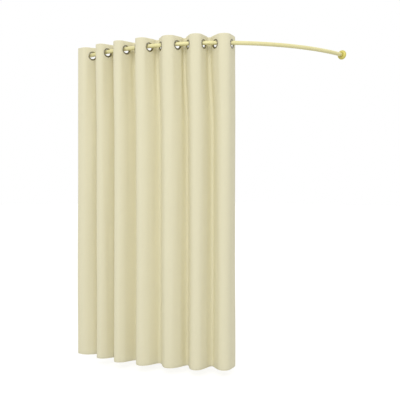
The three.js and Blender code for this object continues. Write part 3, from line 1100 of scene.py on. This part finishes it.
class FittingRoomSettings(bpy.types.PropertyGroup):
    """Sizes and colours that a user would change."""

    cloth_colour: FloatVectorProperty(
        name="Cloth",
        description="Colour of the woven polyester",
        subtype="COLOR",
        default=linear("#e3ddbe")[:3],
        min=0,
        max=1,
    )
    thread_spacing: FloatProperty(
        name="Thread spacing",
        description="Distance between the drawn threads of the weave",
        default=1.6 * MM,
        unit="LENGTH",
    )
    sway: FloatProperty(
        name="Sway",
        description="How far the hem wanders from a straight fall",
        default=6 * MM,
        unit="LENGTH",
    )
    ripple: FloatProperty(
        name="Ripple",
        description="How far the narrow upright ripples stand out of the folds",
        default=1.6 * MM,
        unit="LENGTH",
    )
    stitch_pitch: FloatProperty(
        name="Stitch length",
        description="Distance from one stitch of the seams to the next",
        default=3.5 * MM,
        unit="LENGTH",
    )
    columns_at_eyelet: IntProperty(
        name="Columns at an eyelet",
        description="Columns of the cloth's mesh across the flat stretch at an eyelet",
        default=12,
    )
    columns_in_bend: IntProperty(
        name="Columns in a bend",
        description="Columns of the cloth's mesh in the bend between two eyelets",
        default=16,
    )
    heading_rows: IntProperty(
        name="Rows in the heading",
        description="Rows of the cloth's mesh in each layer of the heading",
        default=22,
    )
    body_rows: IntProperty(
        name="Rows below",
        description="Rows of the cloth's mesh between the heading and the hem",
        default=60,
    )
    floor_colour: FloatVectorProperty(
        name="Floor",
        description="Colour of the floor",
        subtype="COLOR",
        default=linear("#b8b8b6")[:3],
        min=0,
        max=1,
    )
    floor_clearance: FloatProperty(
        name="Clear of the floor",
        description="How high the hem hangs above the floor",
        default=48 * MM,
        unit="LENGTH",
    )
    world_strength: FloatProperty(
        name="World light",
        description="Strength of the light from all round",
        default=0.962,
    )
    key_power: FloatProperty(
        name="Key light",
        description="Power of the softbox, above and a little left of the camera",
        default=290,
        unit="POWER",
    )


# Operators

class FITTING_ROOM_OT_add_rail(bpy.types.Operator):
    """Add the two bent halves of the rail"""

    bl_idname = "fitting_room.add_rail"
    bl_label = "Add rail"

    def execute(self, context):
        add_rail()
        return {"FINISHED"}


class FITTING_ROOM_OT_add_wall_ends(bpy.types.Operator):
    """Add the wall seats and their domed covers"""

    bl_idname = "fitting_room.add_wall_ends"
    bl_label = "Add wall ends"

    def execute(self, context):
        add_wall_ends()
        return {"FINISHED"}


class FITTING_ROOM_OT_add_fasteners(bpy.types.Operator):
    """Add the spigot and the screws"""

    bl_idname = "fitting_room.add_fasteners"
    bl_label = "Add fasteners"

    def execute(self, context):
        add_fasteners()
        return {"FINISHED"}


class FITTING_ROOM_OT_add_eyelets(bpy.types.Operator):
    """Add the front and back rings of the eyelets"""

    bl_idname = "fitting_room.add_eyelets"
    bl_label = "Add eyelets"

    def execute(self, context):
        add_eyelets()
        return {"FINISHED"}


class FITTING_ROOM_OT_add_curtain(bpy.types.Operator):
    """Add the hanging curtain and its stitching"""

    bl_idname = "fitting_room.add_curtain"
    bl_label = "Add curtain"

    def execute(self, context):
        settings = context.scene.fitting_room
        curtain = add_curtain(settings)
        stitching = add_stitching(settings)
        return {"FINISHED"}


class FITTING_ROOM_OT_add_stage(bpy.types.Operator):
    """Add the floor, the light and the camera"""

    bl_idname = "fitting_room.add_stage"
    bl_label = "Add stage"

    def execute(self, context):
        add_stage(context.scene.fitting_room)
        return {"FINISHED"}


OPERATORS = (
    FITTING_ROOM_OT_add_rail,
    FITTING_ROOM_OT_add_wall_ends,
    FITTING_ROOM_OT_add_fasteners,
    FITTING_ROOM_OT_add_eyelets,
    FITTING_ROOM_OT_add_curtain,
    FITTING_ROOM_OT_add_stage,
)


class FITTING_ROOM_PT_pieces(bpy.types.Panel):
    """The fitting room's pieces and settings"""

    bl_idname = "FITTING_ROOM_PT_pieces"
    bl_label = "Fitting room"
    bl_space_type = "VIEW_3D"
    bl_region_type = "UI"
    bl_category = "Fitting room"

    def draw(self, context):
        settings = context.scene.fitting_room
        for name in FittingRoomSettings.__annotations__:
            self.layout.prop(settings, name)
        for operator in OPERATORS:
            self.layout.operator(operator.bl_idname)


CLASSES = (FittingRoomSettings, *OPERATORS, FITTING_ROOM_PT_pieces)


def register():
    for entry in CLASSES:
        bpy.utils.register_class(entry)
    bpy.types.Scene.fitting_room = PointerProperty(type=FittingRoomSettings)


def unregister():
    del bpy.types.Scene.fitting_room
    for entry in reversed(CLASSES):
        bpy.utils.unregister_class(entry)


def main():
    register()
    bpy.ops.fitting_room.add_rail()
    bpy.ops.fitting_room.add_wall_ends()
    bpy.ops.fitting_room.add_fasteners()
    bpy.ops.fitting_room.add_eyelets()
    bpy.ops.fitting_room.add_curtain()
    bpy.ops.fitting_room.add_stage()


if __name__ == "__main__":
    main()
